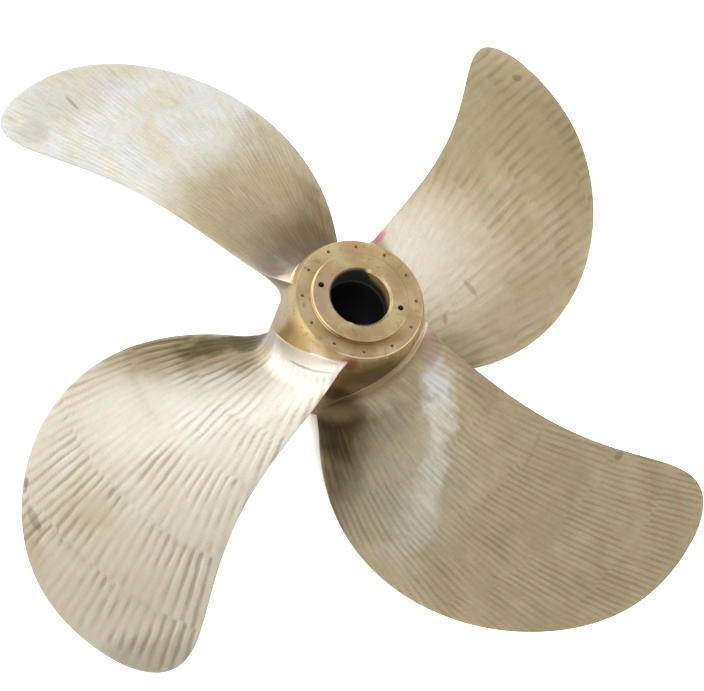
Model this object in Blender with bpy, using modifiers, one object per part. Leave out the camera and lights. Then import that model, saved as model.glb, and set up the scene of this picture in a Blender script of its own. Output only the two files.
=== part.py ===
"""Four-bladed right-handed ship propeller, one bronze casting, lying on the forward face of its hub.

Metres, +Z up. The origin is the centre of the hub's forward face and +Z is the shaft axis, pointing aft,
so the pressure faces of the blades look up. The blades are modelled as their own solids, split from the
hub at its surface, each with the root fillet that the casting has there.
"""
import math

import bmesh
import bpy

# Whole propeller
RADIUS = 0.750
BLADE_COUNT = 4
FIRST_BLADE_ANGLE = math.radians(45.0)
SPLIT_GAP = 0.0003

# Hub, a barrel with a raised spigot ring on its aft face
HUB_LENGTH = 0.285
HUB_RADIUS = 0.130
AFT_FACE_RADIUS = 0.119
FORWARD_FACE_RADIUS = 0.122
AFT_SHOULDER_LENGTH = 0.045
FORWARD_SHOULDER_LENGTH = 0.050
FACE_EDGE = 0.002
SPIGOT_RADIUS = 0.090
SPIGOT_HEIGHT = 0.007
SPIGOT_CHAMFER = 0.002
HUB_SIDES = 72
SHOULDER_STEPS = 5

# Bore, tapered 1 in 15 on diameter, with a relieved chamber between two lands
BORE_AFT_RADIUS = 0.055
BORE_TAPER = 1.0 / 30.0
BORE_CHAMFER = 0.0045
LAND_LENGTH = 0.065
CHAMBER_RELIEF = 0.006

# Tapped holes in the aft end, drilled to the core diameter of their threads
JACKING_HOLE_RADIUS = 0.0051
JACKING_CIRCLE_RADIUS = 0.075
JACKING_HOLE_DEPTH = 0.028
JACKING_HOLE_COUNT = 2
CAP_HOLE_RADIUS = 0.0034
CAP_CIRCLE_RADIUS = 0.106
CAP_HOLE_DEPTH = 0.018
CAP_HOLE_COUNT = 12
CAP_FIRST_ANGLE = math.radians(15.0)
HOLE_SIDES = 12

# Blade: pitch is full from 0.7 of the radius outwards and falls off towards the root
BLADE_PLANE_HEIGHT = 0.135
PITCH = 1.056
ROOT_PITCH_LOSS = 0.21
FULL_PITCH_FRACTION = 0.7
LOFT_START_FRACTION = 0.16

# Control values of the chord (metres) and skew (degrees) curves, from the loft's start to the tip
CHORD_CONTROLS = (0.279, 0.454, 0.567, 0.426, 0.387, 0.0)
SKEW_CONTROLS = (0.0, -6.4, 5.5, 21.9, 21.1, 24.8)

# Blade section: flat pressure face, thin rounded edges, and a back that is thickest a little ahead of
# mid-chord and falls to each edge by a power of the distance
TIP_THICKNESS = 0.0055
CENTRE_THICKNESS = 0.0680
THICKEST_PLACE = -0.20
BACK_POWER_LEADING = 2.2
BACK_POWER_TRAILING = 1.7
EDGE_HALF_THICKNESS = 0.0020
FULL_EDGE_CHORD = 0.060
WASH_UP = 0.16
WASH_UP_END_FRACTION = 0.55
WASH_UP_START = 0.25
SECTION_POINTS = 32

# Root fillet of the casting. It is largest on the pressure face from mid-chord to the trailing edge, and
# smaller where the blade nears the forward end of the hub.
FACE_FILLET_LEADING = 0.034
FACE_FILLET = 0.051
BACK_FILLET = 0.022
FILLET_ROOM_RATE = 1.6
FILLET_END_MARGIN = 0.003
FACE_EDGE_POWER = 6
BACK_EDGE_POWER = 4

# Both edges stay thin and sweep up the hub instead: the trailing one nearly to its aft face. The casting
# is turned flush just below that face.
TRAILING_LIFT = 0.026
TRAILING_LIFT_REACH = 0.078
TRAILING_LIFT_POWER = 1.8
TRAILING_CURL = 0.005
TRAILING_CURL_REACH = 0.020
LEADING_LIFT = 0.019
LEADING_LIFT_REACH = 0.055
CEILING_HEIGHT = 0.2765
CEILING_SOFTNESS = 0.0025

# Loft stations
ROOT_ZONE = 0.070
ROOT_DEPTH = 0.009
ROOT_CROWDING = 1.6
ROOT_STATIONS = 12
BLADE_STATIONS = 20
LOFT_START_RADIUS = 0.117

BRONZE = {"hub": ((0.52, 0.38, 0.20), 0.30), "blade": ((0.66, 0.55, 0.40), 0.34)}


def clear_scene():
    for thing in list(bpy.data.objects):
        bpy.data.objects.remove(thing, do_unlink=True)


def new_collection(name):
    collection = bpy.data.collections.new(name)
    bpy.context.scene.collection.children.link(collection)
    return collection


def bronze_material(name, finish):
    color, roughness = BRONZE[finish]
    material = bpy.data.materials.new(name)
    material.use_nodes = True
    shader = material.node_tree.nodes["Principled BSDF"]
    shader.inputs["Base Color"].default_value = (*color, 1.0)
    shader.inputs["Metallic"].default_value = 1.0
    shader.inputs["Roughness"].default_value = roughness
    return material


def shoulder_radius(drop, length):
    """Radius of the arc that leaves the barrel's side tangentially and falls by drop over length."""
    return (length ** 2 + drop ** 2) / (2.0 * drop)


def hub_radius_at(height):
    """Radius of the hub's side at a height above its forward face."""
    annulus = HUB_LENGTH - SPIGOT_HEIGHT
    past_aft = height - (annulus - AFT_SHOULDER_LENGTH)
    past_forward = FORWARD_SHOULDER_LENGTH - height
    if past_aft > 0.0:
        arc = shoulder_radius(HUB_RADIUS - AFT_FACE_RADIUS, AFT_SHOULDER_LENGTH)
        along = min(past_aft, AFT_SHOULDER_LENGTH)
        return HUB_RADIUS - arc + math.sqrt(arc ** 2 - along ** 2)
    if past_forward > 0.0:
        arc = shoulder_radius(HUB_RADIUS - FORWARD_FACE_RADIUS, FORWARD_SHOULDER_LENGTH)
        along = min(past_forward, FORWARD_SHOULDER_LENGTH)
        return HUB_RADIUS - arc + math.sqrt(arc ** 2 - along ** 2)
    return HUB_RADIUS


def hub_side(proud):
    """Points (radius, height) down the hub's side, both shoulders as arcs, standing proud by a gap."""
    annulus = HUB_LENGTH - SPIGOT_HEIGHT
    heights = []
    for step in range(SHOULDER_STEPS):
        part = math.sin(0.5 * math.pi * step / (SHOULDER_STEPS - 1))
        heights.append(annulus - FACE_EDGE - (AFT_SHOULDER_LENGTH - FACE_EDGE) * part)
    for step in range(SHOULDER_STEPS):
        part = 1.0 - math.sin(0.5 * math.pi * (1.0 - step / (SHOULDER_STEPS - 1)))
        heights.append(FORWARD_SHOULDER_LENGTH - (FORWARD_SHOULDER_LENGTH - FACE_EDGE) * part)
    return [(hub_radius_at(height) + proud, height) for height in heights]


def bore_radius_at(height):
    return BORE_AFT_RADIUS + (HUB_LENGTH - height) * BORE_TAPER


def hub_profile():
    """The hub's cross-section as a closed loop, down its outside and back up through the bore."""
    annulus = HUB_LENGTH - SPIGOT_HEIGHT
    top = HUB_LENGTH
    outside = [
        (bore_radius_at(top) + BORE_CHAMFER, top),
        (SPIGOT_RADIUS - SPIGOT_CHAMFER, top),
        (SPIGOT_RADIUS, top - SPIGOT_CHAMFER),
        (SPIGOT_RADIUS, annulus),
        (AFT_FACE_RADIUS - FACE_EDGE, annulus),
    ]
    bottom = [(FORWARD_FACE_RADIUS - FACE_EDGE, 0.0), (bore_radius_at(0.0) + BORE_CHAMFER, 0.0)]
    chamber_bottom = LAND_LENGTH
    chamber_top = top - LAND_LENGTH
    bore = [
        (bore_radius_at(BORE_CHAMFER), BORE_CHAMFER),
        (bore_radius_at(chamber_bottom), chamber_bottom),
        (bore_radius_at(chamber_bottom) + CHAMBER_RELIEF, chamber_bottom + CHAMBER_RELIEF),
        (bore_radius_at(chamber_top) + CHAMBER_RELIEF, chamber_top - CHAMBER_RELIEF),
        (bore_radius_at(chamber_top), chamber_top),
        (bore_radius_at(top - BORE_CHAMFER), top - BORE_CHAMFER),
    ]
    return outside + hub_side(0.0) + bottom + bore


def cutter_profile():
    """The hub's outside, standing proud by the split gap and closed on the axis past both ends."""
    side = hub_side(SPLIT_GAP)
    past = 0.02
    above = [(0.0, HUB_LENGTH + past), (side[0][0], HUB_LENGTH + past)]
    below = [(side[-1][0], -past), (0.0, -past)]
    return above + side + below


def turned_solid(name, profile, closed, collection):
    """A solid turned about Z from points (radius, height)."""
    mesh = bpy.data.meshes.new(name)
    edges = [(i, i + 1) for i in range(len(profile) - 1)]
    if closed:
        edges.append((len(profile) - 1, 0))
    mesh.from_pydata([(radius, 0.0, height) for radius, height in profile], edges, [])
    solid = bpy.data.objects.new(name, mesh)
    collection.objects.link(solid)
    screw = solid.modifiers.new("turn", "SCREW")
    screw.axis = "Z"
    screw.angle = 2.0 * math.pi
    screw.steps = HUB_SIDES
    screw.render_steps = HUB_SIDES
    screw.use_merge_vertices = True
    screw.merge_threshold = 0.00001
    return solid


def hole_cutter(name, radius, circle_radius, angle, bottom, top, collection):
    """A cylinder that drills one tapped hole down from a face of the hub."""
    mesh = bpy.data.meshes.new(name)
    shape = bmesh.new()
    bmesh.ops.create_cone(shape, cap_ends=True, segments=HOLE_SIDES, radius1=radius, radius2=radius,
                          depth=top - bottom)
    shape.to_mesh(mesh)
    shape.free()
    cutter = bpy.data.objects.new(name, mesh)
    cutter.location = (circle_radius * math.cos(angle), circle_radius * math.sin(angle), (top + bottom) / 2.0)
    collection.objects.link(cutter)
    return cutter


def as_cutter(thing):
    thing.hide_render = True
    thing.display_type = "WIRE"
    return thing


def cut(solid, cutter):
    boolean = solid.modifiers.new("cut " + cutter.name, "BOOLEAN")
    boolean.operation = "DIFFERENCE"
    boolean.solver = "EXACT"
    boolean.object = as_cutter(cutter)


def smooth_by_angle(mesh, degrees):
    mesh.shade_smooth()
    mesh.set_sharp_from_angle(angle=math.radians(degrees))


def drill_hub(hub, collection):
    """Two jacking holes in the spigot face and the ring of cap-bolt holes in the seat around it."""
    over = 0.002
    for index in range(JACKING_HOLE_COUNT):
        angle = 2.0 * math.pi * index / JACKING_HOLE_COUNT
        bottom = HUB_LENGTH - JACKING_HOLE_DEPTH
        cut(hub, hole_cutter("jacking_hole_%d" % index, JACKING_HOLE_RADIUS, JACKING_CIRCLE_RADIUS,
                             angle, bottom, HUB_LENGTH + over, collection))
    seat = HUB_LENGTH - SPIGOT_HEIGHT
    for index in range(CAP_HOLE_COUNT):
        angle = CAP_FIRST_ANGLE + 2.0 * math.pi * index / CAP_HOLE_COUNT
        cut(hub, hole_cutter("cap_hole_%02d" % index, CAP_HOLE_RADIUS, CAP_CIRCLE_RADIUS,
                             angle, seat - CAP_HOLE_DEPTH, seat + over, collection))


def bezier(controls, u):
    """Value at u of the curve with these control values (Bernstein form)."""
    last = len(controls) - 1
    return sum(math.comb(last, i) * (1.0 - u) ** (last - i) * u ** i * c for i, c in enumerate(controls))


def pitch_at(fraction):
    short = max(0.0, (FULL_PITCH_FRACTION - fraction) / (FULL_PITCH_FRACTION - 0.2))
    return PITCH * (1.0 - ROOT_PITCH_LOSS * short ** 2)


def loft_position(fraction):
    """Place u along the blade, from 0 at the loft's start to 1 at the tip, with more of it near the tip."""
    return 1.0 - math.sqrt(max(0.0, (1.0 - fraction) / (1.0 - LOFT_START_FRACTION)))


def back_height(x):
    """Height of the back over the chord, as a share of the section's thickness."""
    if x > THICKEST_PLACE:
        return 1.0 - ((x - THICKEST_PLACE) / (1.0 - THICKEST_PLACE)) ** BACK_POWER_TRAILING
    return 1.0 - ((THICKEST_PLACE - x) / (1.0 + THICKEST_PLACE)) ** BACK_POWER_LEADING


def section_outline(fraction, chord):
    """Points (place x from -1 to 1 along the chord, side, offset y) round one section from its leading edge.

    The side is 1 on the pressure face and -1 on the back.
    """
    thickness = TIP_THICKNESS + (CENTRE_THICKNESS - TIP_THICKNESS) * (1.0 - fraction)
    fade = min(1.0, chord / FULL_EDGE_CHORD)
    edge = EDGE_HALF_THICKNESS * fade
    arch = (thickness - 2.0 * EDGE_HALF_THICKNESS) * fade
    wash = WASH_UP * thickness * max(0.0, 1.0 - (fraction - 0.2) / (WASH_UP_END_FRACTION - 0.2)) ** 2
    points = []
    for step in range(SECTION_POINTS):
        x = -math.cos(2.0 * math.pi * step / SECTION_POINTS)
        side = -1.0 if step <= SECTION_POINTS // 2 else 1.0
        rim = edge * math.sqrt(max(0.0, 1.0 - x ** 8))
        lift = wash * max(0.0, (-x - WASH_UP_START) / (1.0 - WASH_UP_START)) ** 2
        if side < 0.0:
            y = -max(arch * back_height(x), lift) - rim
        else:
            y = rim - lift
        points.append((x, side, y))
    return points


def fillet_size(x, side, height):
    """Radius of the root fillet at place x on one side of a section."""
    fillet = BACK_FILLET
    if side > 0.0:
        part = min(x + 1.0, 1.0)
        fillet = FACE_FILLET_LEADING + (FACE_FILLET - FACE_FILLET_LEADING) * part ** 2 * (3.0 - 2.0 * part)
    room = max(height - FILLET_END_MARGIN, 0.0)
    return fillet * (1.0 - math.exp(-FILLET_ROOM_RATE * room / fillet))


def root_shift(x, side, radius, height, slope):
    """How far the root fillet moves one point of a section, along the chord and across it."""
    annulus = HUB_LENGTH - SPIGOT_HEIGHT
    out = max(radius - hub_radius_at(min(height, annulus)), 0.0)
    fillet = fillet_size(x, side, height)
    arc = fillet - math.sqrt(fillet ** 2 - max(fillet - out, 0.0) ** 2)
    if side > 0.0:
        edge = abs(x) ** FACE_EDGE_POWER
        across = arc * (1.0 - edge)
    else:
        edge = abs(x) ** BACK_EDGE_POWER
        across = -arc * (1.0 - x ** 2) * (1.0 - edge)
    if x > 0.0:
        lift = TRAILING_LIFT * max(1.0 - out / TRAILING_LIFT_REACH, 0.0) ** TRAILING_LIFT_POWER
        curl = TRAILING_CURL * max(1.0 - out / TRAILING_CURL_REACH, 0.0) ** 2
        return edge * (lift * math.sin(slope) + curl), across + edge * lift * math.cos(slope)
    lift = LEADING_LIFT * max(1.0 - out / LEADING_LIFT_REACH, 0.0) ** 2
    return 0.0, across + edge * lift


def below_ceiling(height):
    """The height, levelled off smoothly where it nears the plane to which the casting is turned."""
    below = (CEILING_HEIGHT - height) / CEILING_SOFTNESS
    return CEILING_HEIGHT - CEILING_SOFTNESS * math.log1p(math.exp(below))


def blade_ring(radius, angle):
    """One loft section at a radius, wrapped on its cylinder, as points in space."""
    fraction = radius / RADIUS
    u = loft_position(fraction)
    chord = bezier(CHORD_CONTROLS, u)
    skew = math.radians(bezier(SKEW_CONTROLS, u))
    lead = pitch_at(fraction) / (2.0 * math.pi)
    slope = math.atan(lead / radius)
    ring = []
    for x, side, off in section_outline(fraction, chord):
        along = x * chord / 2.0
        height = BLADE_PLANE_HEIGHT + lead * skew + along * math.sin(slope) + off * math.cos(slope)
        shift_along, shift_across = root_shift(x, side, radius, height, slope)
        along += shift_along
        off += shift_across
        turn = angle + skew + (along * math.cos(slope) - off * math.sin(slope)) / radius
        height = BLADE_PLANE_HEIGHT + lead * skew + along * math.sin(slope) + off * math.cos(slope)
        height = below_ceiling(height)
        ring.append((radius * math.cos(turn), radius * math.sin(turn), height))
    return ring


def station_radii():
    """Loft radii: close together through the root, then evenly spaced along the loft to the tip."""
    root_top = HUB_RADIUS + ROOT_ZONE
    root_bottom = HUB_RADIUS - ROOT_DEPTH
    radii = [LOFT_START_RADIUS]
    for step in range(ROOT_STATIONS):
        part = step / (ROOT_STATIONS - 1)
        radii.append(root_bottom + (root_top - root_bottom) * part ** ROOT_CROWDING)
    start = loft_position(root_top / RADIUS)
    for step in range(1, BLADE_STATIONS):
        u = start + (1.0 - start) * math.sin(0.5 * math.pi * step / BLADE_STATIONS)
        radii.append(RADIUS * (1.0 - (1.0 - LOFT_START_FRACTION) * (1.0 - u) ** 2))
    return radii


def tip_point(angle):
    skew = math.radians(SKEW_CONTROLS[-1])
    height = BLADE_PLANE_HEIGHT + PITCH / (2.0 * math.pi) * skew
    return (RADIUS * math.cos(angle + skew), RADIUS * math.sin(angle + skew), height)


def blade(name, angle, collection):
    """A lofted blade, closed by a flat root inside the hub and a point at its tip."""
    shape = bmesh.new()
    rings = []
    for radius in station_radii():
        rings.append([shape.verts.new(point) for point in blade_ring(radius, angle)])
    for inner, outer in zip(rings, rings[1:]):
        for i in range(SECTION_POINTS):
            j = (i + 1) % SECTION_POINTS
            shape.faces.new((inner[i], inner[j], outer[j], outer[i]))
    shape.faces.new(rings[0])
    tip = shape.verts.new(tip_point(angle))
    for i in range(SECTION_POINTS):
        shape.faces.new((rings[-1][i], rings[-1][(i + 1) % SECTION_POINTS], tip))
    bmesh.ops.recalc_face_normals(shape, faces=shape.faces)
    mesh = bpy.data.meshes.new(name)
    shape.to_mesh(mesh)
    shape.free()
    smooth_by_angle(mesh, 50.0)
    thing = bpy.data.objects.new(name, mesh)
    collection.objects.link(thing)
    return thing


def build():
    clear_scene()
    parts = new_collection("ship_propeller")
    cutters = new_collection("cutters")

    hub = turned_solid("hub", hub_profile(), True, parts)
    hub.data.materials.append(bronze_material("machined_bronze", "hub"))
    drill_hub(hub, cutters)

    root_cutter = turned_solid("root_cutter", cutter_profile(), False, cutters)
    ground = bronze_material("ground_bronze", "blade")
    for index in range(BLADE_COUNT):
        angle = FIRST_BLADE_ANGLE + 2.0 * math.pi * index / BLADE_COUNT
        one = blade("blade_%d" % (index + 1), angle, parts)
        one.data.materials.append(ground)
        cut(one, root_cutter)


build()
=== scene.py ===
import math
from functools import partial

import bmesh
import bpy
import numpy as np
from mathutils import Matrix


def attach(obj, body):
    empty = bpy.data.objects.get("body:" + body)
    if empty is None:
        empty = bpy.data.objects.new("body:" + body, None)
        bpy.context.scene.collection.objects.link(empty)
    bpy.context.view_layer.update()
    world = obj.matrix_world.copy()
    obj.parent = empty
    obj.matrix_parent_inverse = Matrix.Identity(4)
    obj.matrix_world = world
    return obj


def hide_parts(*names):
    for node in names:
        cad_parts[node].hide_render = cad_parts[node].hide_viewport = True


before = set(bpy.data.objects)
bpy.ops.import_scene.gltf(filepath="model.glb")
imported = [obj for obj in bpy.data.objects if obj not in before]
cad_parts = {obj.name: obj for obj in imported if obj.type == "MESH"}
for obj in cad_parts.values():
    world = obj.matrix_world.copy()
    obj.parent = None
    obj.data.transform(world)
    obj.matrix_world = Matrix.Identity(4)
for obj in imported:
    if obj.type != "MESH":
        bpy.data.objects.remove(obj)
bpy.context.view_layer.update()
print("frame loaded:", sorted(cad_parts))

# Ship propeller: a turned hub and four hand-ground blades. Metres, +Z aft, the hub's forward face on
# the floor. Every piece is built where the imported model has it.

# Nodes by plain names: Blender's name, the inputs in the order that calls give them in, the output
# taken, and the settings
nodeKinds = {
    "noise": ("ShaderNodeTexNoise", ("Vector", "Scale", "Detail"), 0, {}),
    "split": ("ShaderNodeSeparateXYZ", (0,), 0, {}),
    "join": ("ShaderNodeCombineXYZ", (0, 1, 2), 0, {}),
    "ranged": ("ShaderNodeMapRange", (0, 1, 2, 3, 4), 0, {}),
    "eased": ("ShaderNodeMapRange", (0, 1, 2, 3, 4), 0, {"interpolation_type": "SMOOTHSTEP"}),
    "mix": ("ShaderNodeMix", (0, 6, 7), 2, {"data_type": "RGBA"}),
    "tint": ("ShaderNodeMix", (0, 6, 7), 2, {"data_type": "RGBA", "blend_type": "MULTIPLY"}),
    "bump": ("ShaderNodeBump", ("Height", "Strength", "Distance"), 0, {}),
    "within": ("ShaderNodeMapping", ("Vector", "Location", "Scale", "Rotation"), 0,
               {"vector_type": "TEXTURE"}),
    "attribute": ("ShaderNodeAttribute", (), "Fac", {}),
    "object": ("ShaderNodeTexCoord", (), "Object", {}),
    "scaled": ("ShaderNodeVectorMath", (0, "Scale"), 0, {"operation": "SCALE"}),
    "length": ("ShaderNodeVectorMath", (0,), "Value", {"operation": "LENGTH"}),
    "dot": ("ShaderNodeVectorMath", (0, 1), "Value", {"operation": "DOT_PRODUCT"}),
    "stored": ("GeometryNodeInputNamedAttribute", ("Name",), 0, {"data_type": "FLOAT_VECTOR"}),
    "store": ("GeometryNodeStoreNamedAttribute", ("Geometry", "Name", "Value"), 0, {}),
    "normal": ("GeometryNodeInputNormal", (), 0, {}),
    "index": ("GeometryNodeInputIndex", (), 0, {}),
    "move": ("GeometryNodeSetPosition", ("Geometry", "Offset"), 0, {}),
    "spiral": ("GeometryNodeCurveSpiral",
               ("Resolution", "Rotations", "Start Radius", "End Radius", "Height"), 0, {}),
    "ring": ("GeometryNodeCurvePrimitiveCircle", ("Resolution", "Radius"), 0, {}),
    "sweep": ("GeometryNodeCurveToMesh", ("Curve", "Profile Curve", "Fill Caps"), 0, {}),
    "points": ("GeometryNodePoints", ("Count", "Position"), 0, {}),
    "repeat": ("GeometryNodeInstanceOnPoints", ("Points", "Instance", "Rotation"), 0, {}),
    "realize": ("GeometryNodeRealizeInstances", ("Geometry",), 0, {}),
    "dress": ("GeometryNodeSetMaterial", ("Geometry", "Material"), 0, {}),
}
for word, operation in (
    ("plus", "ADD"), ("minus", "SUBTRACT"), ("times", "MULTIPLY"), ("over", "DIVIDE"),
    ("timesPlus", "MULTIPLY_ADD"), ("least", "MINIMUM"), ("most", "MAXIMUM"), ("size", "ABSOLUTE"),
    ("isAbove", "GREATER_THAN"), ("isBelow", "LESS_THAN"), ("sine", "SINE"), ("cosine", "COSINE"),
):
    nodeKinds[word] = ("ShaderNodeMath", (0, 1, 2), 0, {"operation": operation})
for word, operation in (("shift", "ADD"), ("unshift", "SUBTRACT"), ("stretch", "MULTIPLY"),
                        ("stretchShift", "MULTIPLY_ADD")):
    nodeKinds[word] = ("ShaderNodeVectorMath", (0, 1, 2), 0, {"operation": operation})


def setInputs(node, values):
    # each input is linked or set
    for name, value in values.items():
        if isinstance(value, bpy.types.NodeSocket):
            node.id_data.links.new(value, node.inputs[name])
        else:
            node.inputs[name].default_value = value


def addNode(tree, kind, *values, output=None, **settings):
    # one node with its settings and links; gives the output that the caller needs
    blenderName, inputs, usualOutput, usualSettings = nodeKinds[kind]
    node = tree.nodes.new(blenderName)
    for name, value in {**usualSettings, **settings}.items():
        setattr(node, name, value)
    setInputs(node, dict(zip(inputs, values)))
    return node.outputs[usualOutput if output is None else output]


def newTree(name, sizes):
    # a Geometry Nodes tree that takes a shape, sizes by name and a finish
    tree = bpy.data.node_groups.new(name, "GeometryNodeTree")
    sockets = [("Shape", "Geometry")] + list(sizes) + [("Finish", "Material")]
    for socket, kind in sockets:
        tree.interface.new_socket(socket, in_out="INPUT", socket_type="NodeSocket" + kind)
    tree.interface.new_socket("Shape", in_out="OUTPUT", socket_type="NodeSocketGeometry")
    return tree, tree.nodes.new("NodeGroupInput").outputs, partial(addNode, tree)


def endTree(tree, shape, finish):
    # every tree ends in real geometry with its finish
    dressed = addNode(tree, "dress", addNode(tree, "realize", shape), finish)
    tree.links.new(dressed, tree.nodes.new("NodeGroupOutput").inputs[0])
    return tree


def useTree(thing, tree, values):
    # a Geometry Nodes modifier with its named inputs set by their identifiers
    modifier = thing.modifiers.new(tree.name, "NODES")
    modifier.node_group = tree
    for item in tree.interface.items_tree:
        if item.item_type == "SOCKET" and item.in_out == "INPUT" and item.name in values:
            modifier[item.identifier] = values[item.name]


def bakeModifiers(thing):
    # the evaluated result becomes the object's own plain mesh
    bpy.context.view_layer.update()
    graph = bpy.context.evaluated_depsgraph_get()
    mesh = bpy.data.meshes.new_from_object(thing.evaluated_get(graph))
    thing.modifiers.clear()
    thing.data = mesh


def newObject(name, mesh):
    thing = bpy.data.objects.new(name, mesh)
    bpy.context.scene.collection.objects.link(thing)
    return thing


def solidMesh(name, spots, faces, merge=0.0):
    # a closed mesh whose faces point outwards
    mesh = bpy.data.meshes.new(name)
    mesh.from_pydata(spots, [], faces)
    shape = bmesh.new()
    shape.from_mesh(mesh)
    if merge:
        bmesh.ops.remove_doubles(shape, verts=shape.verts, dist=merge)
    bmesh.ops.recalc_face_normals(shape, faces=shape.faces)
    shape.to_mesh(mesh)
    shape.free()
    return mesh


def hexColour(text):
    # sRGB hex to the linear values that the shaders work in
    parts = [int(text[i:i + 2], 16) / 255.0 for i in (1, 3, 5)]
    return tuple(p / 12.92 if p <= 0.04045 else ((p + 0.055) / 1.055) ** 2.4 for p in parts) + (1.0,)


def newMaterial(name):
    material = bpy.data.materials.new(name)
    material.use_nodes = True
    return material, partial(addNode, material.node_tree)


def endMaterial(material, values):
    setInputs(material.node_tree.nodes["Principled BSDF"], values)
    return material


# Blades: the CAD's loft, repeated with many more points
bladePlan = {
    "radius": 0.7499,               # a hair inside the CAD's facets
    "planeHeight": 0.135,
    "pitch": 1.056,
    "rootPitchLoss": 0.21,
    "fullPitchFrom": 0.7,
    "loftStart": 0.16,
    "chords": (0.279, 0.454, 0.567, 0.426, 0.387, 0.0),
    "skews": (0.0, -6.4, 5.5, 21.9, 21.1, 24.8),
    "tipThickness": 0.0055,
    "centreThickness": 0.0680,
    "thickestPlace": -0.20,
    "backPowers": (2.2, 1.7),       # towards the leading and the trailing edge
    "edgeHalfThickness": 0.0020,
    "fullEdgeChord": 0.060,
    "washUp": 0.16,
    "washUpEnd": 0.55,
    "washUpStart": 0.25,
    "faceFillets": (0.034, 0.051),  # at the leading edge, and from mid-chord on
    "backFillet": 0.022,
    "filletRoomRate": 1.6,
    "filletMargin": 0.003,
    "edgePowers": (6.0, 4.0),       # face and back
    "trailingLift": 0.026,
    "trailingLiftReach": 0.078,
    "trailingLiftPower": 1.8,
    "trailingCurl": 0.005,
    "trailingCurlReach": 0.020,
    "trailingCurlPower": 2,
    "leadingLift": 0.019,
    "leadingLiftReach": 0.055,
    "leadingLiftPower": 2,
    "ceiling": 0.2765,
    "ceilingSoftness": 0.0025,
    "rootRadius": 0.117,
    "rootZone": 0.070,
    "backPoints": 104,
    "facePoints": 264,
    "rootStations": 44,
    "bladeStations": 104,
    "rootCrowding": 1.4,            # stations crowd towards the hub and the tip
    "tipCrowding": 0.55,
    "backCrowding": 0.6,            # points crowd towards the edges
    "faceCrowding": 0.38,
    "innerFraction": 0.2,           # the hub's share of the radius, as the loft takes it
    "rimPower": 8,
}

hubPlan = {
    "length": 0.285,
    "radius": 0.130,
    "aftFaceRadius": 0.119,
    "forwardFaceRadius": 0.122,
    "aftShoulder": 0.045,
    "forwardShoulder": 0.050,
    "edgeRound": 0.002,
    "spigotRadius": 0.090,
    "spigotHeight": 0.007,
    "spigotChamfer": 0.002,
    "boreRadius": 0.055,
    "boreTaper": 1.0 / 30.0,
    "boreChamfer": 0.0045,
    "land": 0.065,
    "relief": 0.006,
    "sides": 288,
    "shoulderSteps": 14,
    "barrelSteps": 10,
    "edgeSteps": 4,
    "foot": 0.0008,                 # the spigot's foot has this much of a corner
    "sharpFrom": 35.0,
}


def hubRadiusAt(height):
    plan = hubPlan
    height = np.asarray(height, float)
    seat = plan["length"] - plan["spigotHeight"]
    radius = np.full_like(height, plan["radius"])
    for past, reach, end in (
        (height - (seat - plan["aftShoulder"]), plan["aftShoulder"], plan["aftFaceRadius"]),
        (plan["forwardShoulder"] - height, plan["forwardShoulder"], plan["forwardFaceRadius"]),
    ):
        drop = plan["radius"] - end
        arc = (reach ** 2 + drop ** 2) / (2.0 * drop)
        along = np.clip(past, 0.0, reach)
        radius = radius - arc + np.sqrt(arc ** 2 - along ** 2)
    return radius


def curveValue(controls, u):
    last = len(controls) - 1
    return sum(math.comb(last, i) * (1.0 - u) ** (last - i) * u ** i * c for i, c in enumerate(controls))


def loftPosition(fraction):
    return 1.0 - np.sqrt(np.clip((1.0 - fraction) / (1.0 - bladePlan["loftStart"]), 0.0, None))


def bladeStations():
    # radii of the sections, from inside the hub to just short of the tip
    plan = bladePlan
    rootTop = hubPlan["radius"] + plan["rootZone"]
    part = np.linspace(0.0, 1.0, plan["rootStations"]) ** plan["rootCrowding"]
    root = plan["rootRadius"] + (rootTop - plan["rootRadius"]) * part
    start = loftPosition(rootTop / plan["radius"])
    part = np.arange(1, plan["bladeStations"] + 1) / (plan["bladeStations"] + 1.0)
    crowd = plan["tipCrowding"]
    u = start + (1.0 - start) * ((1.0 - crowd) * part + crowd * np.sin(0.5 * math.pi * part))
    outer = plan["radius"] * (1.0 - (1.0 - plan["loftStart"]) * (1.0 - u) ** 2)
    return np.concatenate([root, outer])


def ringPlaces():
    # places along the chord, round the back from the leading edge and home over the face
    places, sides = [], []
    for word, side in (("back", -1.0), ("face", 1.0)):
        part = np.arange(bladePlan[word + "Points"]) / bladePlan[word + "Points"]
        crowd = bladePlan[word + "Crowding"]
        places.append(side * ((1.0 - crowd) * (1.0 - 2.0 * part) + crowd * np.cos(math.pi * part)))
        sides.append(np.full(len(part), side))
    return np.concatenate(places), np.concatenate(sides)


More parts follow.
